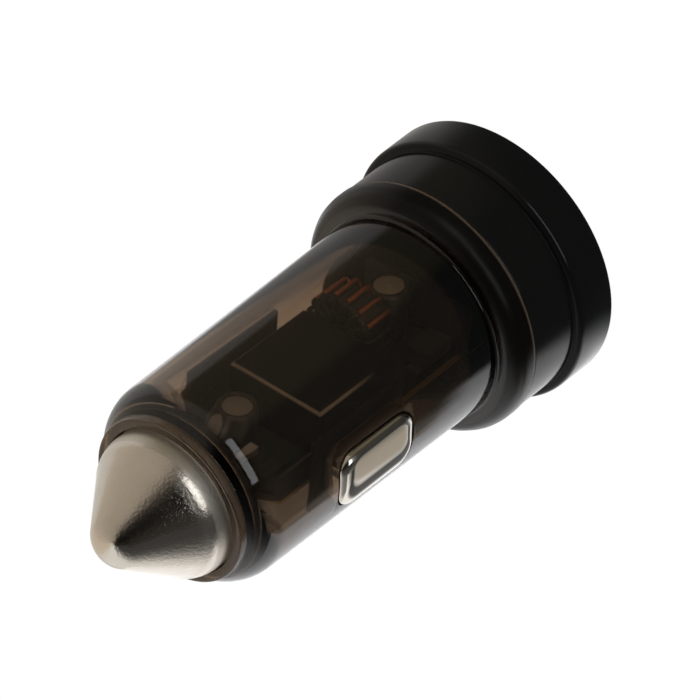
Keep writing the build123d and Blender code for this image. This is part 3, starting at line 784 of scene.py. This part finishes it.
# Housing: one moulding of smoked clear polycarbonate, with a flange, a slightly tapered barrel and a collar.
# Ribs inside hold the board, a slot on each side lets a contact through, and the flange snaps over the cap.
# The barrel is polished and the flange is satin. Painted shade: a darker tint on the flange and on a band
# at the nose, and a dark diffuse layer on the flange that thins towards its sides. Painted light: a tan
# diffuse glow on the lip, the slot walls and the collar, where the edges catch light, most at the
# collar's sides.
housing_low, housing_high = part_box("housing")
seam = housing_low.z / mm
collar_top = housing_high.z / mm
flange_r = housing_high.x / mm
flange_bore = 11.35
flange_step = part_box("rear_cap")[1].z / mm + 0.1
shoulder = seam + 2.8
root_r = 10.4
front_r = 10.1
nose_corner = shoulder + 31.3
collar_root = collar_top - 0.95
collar_r = 8.4
hole_r = 7.43
cavity_r = 8.65
stop = collar_top - 2.15
round_sides = 160
housing_section = [
    (flange_bore, seam, 0), (flange_r, seam, 0.15), (flange_r, shoulder, 1.85), (root_r, shoulder, 0.3),
    (front_r, nose_corner, 3.6), (collar_r, collar_root, 0.1), (collar_r, collar_top, 0.28),
    (hole_r, collar_top, 0.12), (hole_r, stop, 0), (cavity_r, stop, 0.5), (cavity_r, flange_step, 0),
    (flange_bore, flange_step, 0),
]
housing = turned("smoked_housing", housing_section, round_sides)


def cut(piece, tool, operation):
    """Joins a tool, still in edit mode, to a piece or takes it away, and deletes the tool."""
    bpy.ops.object.mode_set(mode="OBJECT")
    bpy.ops.object.select_all(action="DESELECT")
    piece.select_set(True)
    bpy.context.view_layer.objects.active = piece
    change = piece.modifiers.new("cut", "BOOLEAN")
    change.object = tool
    change.operation = operation
    change.solver = "EXACT"
    bpy.ops.object.modifier_apply(modifier=change.name)
    bpy.data.objects.remove(tool)


slot_clearance = 0.2 * mm
slot_half = shoe_width / 2 + slot_clearance
slot_reach = shoe_length / 2 + slot_clearance
slot_tool = boxed(
    "slot_tool",
    Vector((-housing_high.x, -slot_half, shoe_middle - slot_reach)),
    Vector((housing_high.x, slot_half, shoe_middle + slot_reach)),
)
bpy.ops.mesh.select_all(action="SELECT")
bpy.ops.mesh.bevel(offset=shoe_corner + slot_clearance, segments=8)
cut(housing, slot_tool, "DIFFERENCE")
rib_clearance = 0.08 * mm
rib_thickness = 1.0 * mm
rib_overlap = 0.5 * mm
rib_root = (cavity_r + 0.4) * mm
rib_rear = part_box("usb_a_shell")[1].z + 0.3 * mm
rib_front = shoe_low.z - 0.2 * mm
for outward in (-1, 1):
    rib_ends = sorted((outward * (board_high.x - rib_overlap), outward * rib_root))
    for rib_y in (board_low.y - rib_clearance - rib_thickness, board_high.y + rib_clearance):
        rib = boxed(
            "rib_tool",
            Vector((rib_ends[0], rib_y, rib_rear)),
            Vector((rib_ends[1], rib_y + rib_thickness, rib_front)),
        )
        cut(housing, rib, "UNION")
bpy.ops.object.shade_smooth_by_angle(angle=math.radians(30))


def cover(place, shader, part="Surface"):
    """Makes a shader the surface, or the volume, of the finish that a place is on."""
    place.tree.links.new(shader.socket, place.tree.nodes["Material Output"].inputs[part])


def ray_is(socket, kind):
    """1 for rays of one kind, as the light path names them."""
    return socket.make("ShaderNodeLightPath", {}, {}, f"Is {kind} Ray")


clear_white = (1.0, 1.0, 1.0)
clear_warm = (0.97, 0.96, 0.95)
smoke_painted_shade = (0.20, 0.17, 0.15)
smoke_tint = (0.487, 0.352, 0.20)
smoke_density = 800
shade_black = (0.005, 0.0047, 0.0042)
glow_tan = (0.17, 0.12, 0.08)
flow_size = 6 * mm
hair = 0.02 * mm
slot_inner = 6 * mm
smoked_clear, place, shader = new_finish("smoked_clear")
housing_x = place.axis("X")
housing_y = place.axis("Y")
housing_z = place.axis("Z")
flow = place.noise(flow_size, 2)
barrel = housing_z.ramp((shoulder + 0.28) * mm, (shoulder + 0.42) * mm)
polish = housing_z.ramp((shoulder - 0.15) * mm, (shoulder + 0.02) * mm)
nose_start = housing_z.ramp((nose_corner - 0.8) * mm, nose_corner * mm)
nose_end = housing_z.ramp((collar_root - 0.3) * mm, collar_root * mm)
collar = housing_z.ramp((collar_root - 0.05) * mm, (collar_root + 0.1) * mm)
lip = housing_z.ramp((seam + 0.4) * mm, (seam + 0.2) * mm)
# Painted shade: the flange and a band at the nose take the darker tint.
unshaded_part = barrel * (1 - 0.9 * (nose_start - nose_end)) + lip
clear_plastic = paint(
    place, shader,
    Base_Color=unshaded_part.mix(smoke_painted_shade, flow.mix(clear_white, clear_warm)),
    Roughness=0.3 - polish * (0.27 - 0.03 * flow),
    IOR=1.5,
    Transmission_Weight=1.0,
)
sideways = abs(0.82 * housing_x - 0.57 * housing_y)
flange_side = sideways.ramp(8.5 * mm, 12.5 * mm)
collar_side = sideways.ramp(3 * mm, 6 * mm)
past_slot = (abs(housing_y) > slot_half + hair).peak(abs(housing_z - shoe_middle) > slot_reach + hair)
slot_wall = (abs(housing_x) > slot_inner) * (1 - past_slot)
shaded = 0.8 * (1 - polish) * (1 - lip) * (1 - 0.9 * flange_side)
# Painted light: a tan glow on the lip, on the collar, more at its sides, and on the slot walls.
edge_glow_share = 0.45 * lip + 0.35 * collar * (0.3 + 0.7 * collar_side) + 0.3 * slot_wall
shade = place.make("ShaderNodeBsdfDiffuse", {}, {"Color": shade_black})
edge_glow = place.make("ShaderNodeBsdfDiffuse", {}, {"Color": glow_tan})
lamp_light = place.make("ShaderNodeBsdfTransparent", {}, {"Color": clear_white})
plastic = edge_glow_share.blend(shaded.blend(clear_plastic, shade), edge_glow)
cover(place, ray_is(place, "Shadow").blend(plastic, lamp_light))
smoke = place.make("ShaderNodeVolumeAbsorption", {}, {"Color": smoke_tint, "Density": smoke_density})
cover(place, smoke, "Volume")
fit(housing, smoked_clear, "shell", "smoked_clear", "housing")

# Rear cap: a black moulding with a smooth gloss, duller at the step of the rim, with the ports in a recess.
# A short neck meets the flange of the housing, and the spigot inside it is pressed and glued.
cap_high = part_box("rear_cap")[1]
rim_r = cap_high.x / mm
rim_length = 4.9
recess_r = 11.8
recess = 0.9
face_inner = 2.5
neck_r = 12.6
spigot_r = 11.25
spigot_top = cap_high.z / mm
cap_bore = 10.3
cap_section = [
    (0, recess, 0), (recess_r, recess, 0.15), (recess_r, 0, 0.3), (rim_r, 0, 0.6), (rim_r, rim_length, 0.7),
    (neck_r, rim_length, 0.35), (neck_r, seam, 0.2), (spigot_r, seam, 0), (spigot_r, spigot_top, 0.2),
    (cap_bore, spigot_top, 0), (cap_bore, face_inner, 0.4), (0, face_inner, 0),
]
cap = turned("black_cap", cap_section, round_sides)
window_gap = 0.15 * mm
for port, window_corner in (("usb_a_shell", 0.6 * mm), ("usb_c_shell", 1.7 * mm)):
    port_low, port_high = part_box(port)
    window = boxed(
        "window_tool",
        Vector((port_low.x - window_gap, port_low.y - window_gap, -window_gap)),
        Vector((port_high.x + window_gap, port_high.y + window_gap, face_inner * mm + window_gap)),
    )
    bpy.ops.mesh.select_all(action="SELECT")
    bpy.ops.mesh.bevel(offset=window_corner, segments=6)
    cut(cap, window, "DIFFERENCE")
bpy.ops.object.shade_smooth_by_angle(angle=math.radians(30))
black_deep = (0.0045, 0.0045, 0.0045)
black_soft = (0.0065, 0.0062, 0.006)
black_matt = (0.008, 0.008, 0.008)
black_cloud = 5 * mm
covered_from = (seam + 0.05) * mm
cap_black, place, shader = new_finish("cap_black")
cap_z = place.axis("Z")
covered = cap_z > covered_from
clouds = place.noise(black_cloud, 3)
gloss = paint(
    place, shader,
    Base_Color=clouds.mix(black_deep, black_soft),
    Roughness=0.14 + 0.04 * clouds + 0.5 * covered,
    Specular_IOR_Level=0.3,
)
matt = place.make("ShaderNodeBsdfDiffuse", {}, {"Color": black_matt})
step_start = cap_z.ramp((rim_length - 0.5) * mm, (rim_length - 0.2) * mm)
step_end = cap_z.ramp((rim_length + 0.2) * mm, (rim_length + 0.5) * mm)
rim_step = 0.65 * (step_start - step_end)
cover(place, rim_step.blend(gloss, matt))
fit(cap, cap_black, "shell", "cap_black", "rear_cap")

# Studio: a wide white floor, which the lens sees as plain white, and a dim room round the plug.
# What shines in the plug is the floor's glow, which only reflected rays see, toned as a white card behind it,
# a dark side at its left and a warm wall at its right. Rays through the glass see a painted shadow beside it.
card_white = (1.0, 1.0, 1.0)
seen_white = (1.05, 1.05, 1.05)
lit_card = (1.3, 1.3, 1.32)
far_card = (0.72, 0.70, 0.66)
dark_side = (0.062, 0.071, 0.067)
dim_side = (0.45, 0.43, 0.41)
olive_side = (0.17, 0.155, 0.11)
warm_wall = (0.50, 0.46, 0.40)
through_shade = (0.28, 0.28, 0.28)
through_dim = (0.44, 0.43, 0.42)
paper_white = (0.9, 0.9, 0.9)
card_side = (-6 * mm, 4 * mm)
card_end = (55 * mm, 90 * mm)
olive_edge = (6 * mm, 20 * mm)
near_edge = (-9 * mm, -3 * mm)
wall_start = (-4 * mm, 3 * mm)
wall_end = (9 * mm, 14 * mm)
far_edge = (-34 * mm, -40 * mm)
shade_edge = (0, -8 * mm)
floor_half = 3.0
shadow_share = 0.06
bpy.ops.object.select_all(action="DESELECT")
bpy.ops.mesh.primitive_plane_add(size=2 * floor_half)
floor = bpy.context.object
floor.name = "white_floor"
white_floor, place, shader = new_finish("white_floor")
floor_x = place.axis("X")
floor_y = place.axis("Y")
away = 0.6 * floor_x + 0.78 * floor_y
across = 0.82 * floor_x - 0.57 * floor_y
aside = (0.25 * floor_x - floor_y).ease(*card_side)
back_tone = floor_x.ease(*card_end).mix(aside.mix(lit_card, dim_side), far_card)
near_tone = across.ease(*olive_edge).mix(dark_side, olive_side)
near_tone = away.ease(*near_edge).mix(near_tone, back_tone)
far_tone = away.ease(*wall_start).mix(dark_side, warm_wall)
far_tone = away.ease(*wall_end).mix(far_tone, back_tone)
gloss_tone = across.ease(*far_edge).mix(near_tone, far_tone)
# Painted shadow: rays through the glass see the floor dark beside the plug, and dimmer on one side.
through_tone = aside.mix(across.ease(*shade_edge).mix(card_white, through_shade), through_dim)
straight = ray_is(place, "Camera")
through = ray_is(place, "Transmission")
floor_tone = straight.mix(through.mix(gloss_tone, through_tone), seen_white)
glow = place.make("ShaderNodeEmission", {}, {"Color": floor_tone, "Strength": 1.0})
paper = place.make("ShaderNodeBsdfDiffuse", {}, {"Color": paper_white})
unlit = ray_is(place, "Glossy").peak(through).peak(straight * (1 - shadow_share))
cover(place, unlit.blend(paper, glow))
floor.data.materials.append(white_floor)

tint_until = 0.66
room_turns = []
for turn, brightness in (
    (0.00, 0.036), (0.043, 0.026), (0.097, 0.006), (0.153, 0.006), (0.20, 0.04), (0.235, 0.17), (0.263, 0.34),
    (0.31, 0.39), (0.40, 0.43), (0.52, 0.54), (0.588, 0.68), (0.645, 0.70), (0.69, 1.0), (0.784, 1.0),
    (0.82, 0.88), (0.858, 0.36), (0.899, 0.115), (0.944, 0.061),
):
    warmth = 0.2 * brightness if turn < tint_until else 0
    room_turns.append((turn, (brightness + 0.6 * warmth, brightness, brightness - 0.75 * warmth)))
room = bpy.data.worlds.new("studio_room")
bpy.context.scene.world = room
room.use_nodes = True
sky = Socket(room.node_tree, room.node_tree.nodes.new("ShaderNodeTexCoord").outputs["Generated"])
compass = sky.make("ShaderNodeTexGradient", {"gradient_type": "RADIAL"}, {"Vector": sky})
room_tone = sky.make("ShaderNodeValToRGB", {"stops": room_turns}, {"Fac": compass})
plain = ray_is(sky, "Camera").peak(ray_is(sky, "Transmission"))
sky.feed(room.node_tree.nodes["Background"].inputs["Color"], plain.mix(room_tone, card_white))


def softbox(name, direction, distance, width, height, radiance, tint):
    """A soft lamp that faces the plug's middle from a direction, as bright per area as it is told."""
    middle = Vector((0, 0, 30 * mm))
    bpy.ops.object.light_add(type="AREA", location=middle + direction.normalized() * distance)
    lamp = bpy.context.object
    lamp.name = name
    lamp.rotation_euler = direction.to_track_quat("Z", "Y").to_euler()
    lamp.data.shape = "RECTANGLE"
    lamp.data.size = width
    lamp.data.size_y = height
    lamp.data.energy = radiance * math.pi * width * height
    lamp.data.color = tint
    lamp.visible_camera = False
    return lamp


softbox(
    "front_window", Vector((-0.70, -0.64, 0.32)),
    distance=0.9, width=0.80, height=0.28, radiance=2.4, tint=(0.95, 0.97, 1.0),
)
top_fill = softbox(
    "top_fill", Vector((0.25, 0.30, 1.0)),
    distance=1.2, width=0.9, height=0.9, radiance=1.6, tint=(1.0, 0.98, 0.95),
)
key = softbox(
    "key", Vector((-0.10, -1.0, 0.15)),
    distance=1.0, width=0.5, height=0.5, radiance=3.0, tint=(1.0, 1.0, 1.0),
)
for lamp in (top_fill, key):
    lamp.visible_glossy = False

# Camera: a long lens, from the front left and above, rolled so that the plug lies across the picture.
# Its place, direction and roll come from the outline of the plug in the photograph.
sensor_width = 36.0
picture_width = 700
focal_pixels = 8700
clip_near = 0.05
clip_far = 20
view_azimuth = math.radians(-35.0)
view_elevation = math.radians(36.0)
view_roll = math.radians(232.5)
camera_place = Vector((-0.3650, -0.5228, 0.4839))
back = Vector((
    math.sin(view_azimuth) * math.cos(view_elevation),
    -math.cos(view_azimuth) * math.cos(view_elevation),
    math.sin(view_elevation),
))
level = Vector((math.cos(view_azimuth), math.sin(view_azimuth), 0))
upright = back.cross(level)
right = level * math.cos(view_roll) + upright * math.sin(view_roll)
up = upright * math.cos(view_roll) - level * math.sin(view_roll)
bpy.ops.object.camera_add()
camera = bpy.context.object
camera.data.sensor_width = sensor_width
camera.data.lens = sensor_width * focal_pixels / picture_width
camera.data.clip_start = clip_near
camera.data.clip_end = clip_far
camera.matrix_world = Matrix.Translation(camera_place) @ Matrix((right, up, back)).transposed().to_4x4()
bpy.context.scene.camera = camera
bpy.context.scene.view_settings.view_transform = "Standard"
